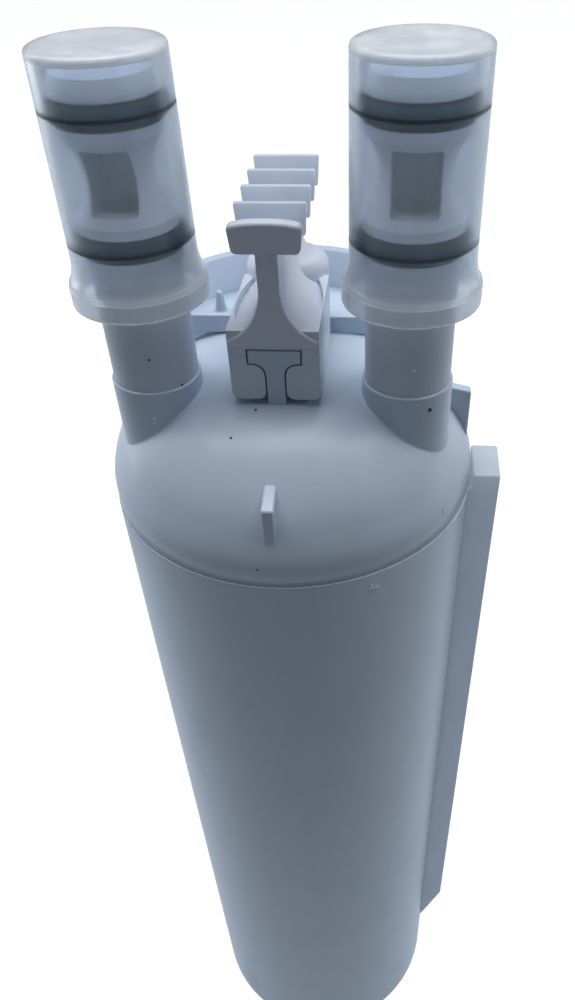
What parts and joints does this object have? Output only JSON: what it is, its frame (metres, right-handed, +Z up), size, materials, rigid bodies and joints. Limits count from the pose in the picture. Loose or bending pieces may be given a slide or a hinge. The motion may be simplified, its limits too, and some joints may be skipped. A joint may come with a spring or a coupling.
{
  "type": "fridge water filter cartridge",
  "caption": "Upright round water filter cartridge with sealed nozzles under pull-off caps, a slotted key on the domed head and a guide rail down one side.",
  "frame": {"origin": "middle of the flat bottom, where the cartridge stands", "axes": "+Z up along the body to the nozzles, +X towards the guide rail, -Y the front, where the key opens"},
  "size_m": [0.0673, 0.0624, 0.2599],
  "materials": {
    "white_plastic": "satin white with a cool cast",
    "nozzle_plastic": "satin white",
    "key_plastic": "satin, slightly greyer white",
    "seal_rubber": "greased black rubber",
    "clear_plastic": "milky translucent",
    "pressed_carbon": "dull black, grainy",
    "porous_plastic": "matt, porous",
    "felt": "white felt",
    "net_plastic": "natural white",
    "end_cap_plastic": "matt white"
  },
  "bodies": {
    "cartridge": {"body_shell": "white_plastic", "head_cap": "white_plastic", "key_lock": "key_plastic", "left_nozzle": "nozzle_plastic", "right_nozzle": "nozzle_plastic", "left_upper_o_ring": "seal_rubber", "left_lower_o_ring": "seal_rubber", "right_upper_o_ring": "seal_rubber", "right_lower_o_ring": "seal_rubber", "carbon_block": "pressed_carbon", "inner_core": "porous_plastic", "prefilter_wrap": "felt", "outer_netting": "net_plastic", "upper_end_cap": "end_cap_plastic", "lower_end_cap": "end_cap_plastic", "neck_o_ring": "seal_rubber", "flow_manifold": "end_cap_plastic", "outlet_o_ring": "seal_rubber"},
    "left_cap": {"left_protective_cap": "clear_plastic"},
    "right_cap": {"right_protective_cap": "clear_plastic"}
  },
  "joints": [
    {"name": "left_cap_pull", "type": "slide", "parent": "cartridge", "child": "left_cap", "axis": [0, 0, 1], "range_m": [0, 0.045]},
    {"name": "right_cap_pull", "type": "slide", "parent": "cartridge", "child": "right_cap", "axis": [0, 0, 1], "range_m": [0, 0.045]}
  ]
}
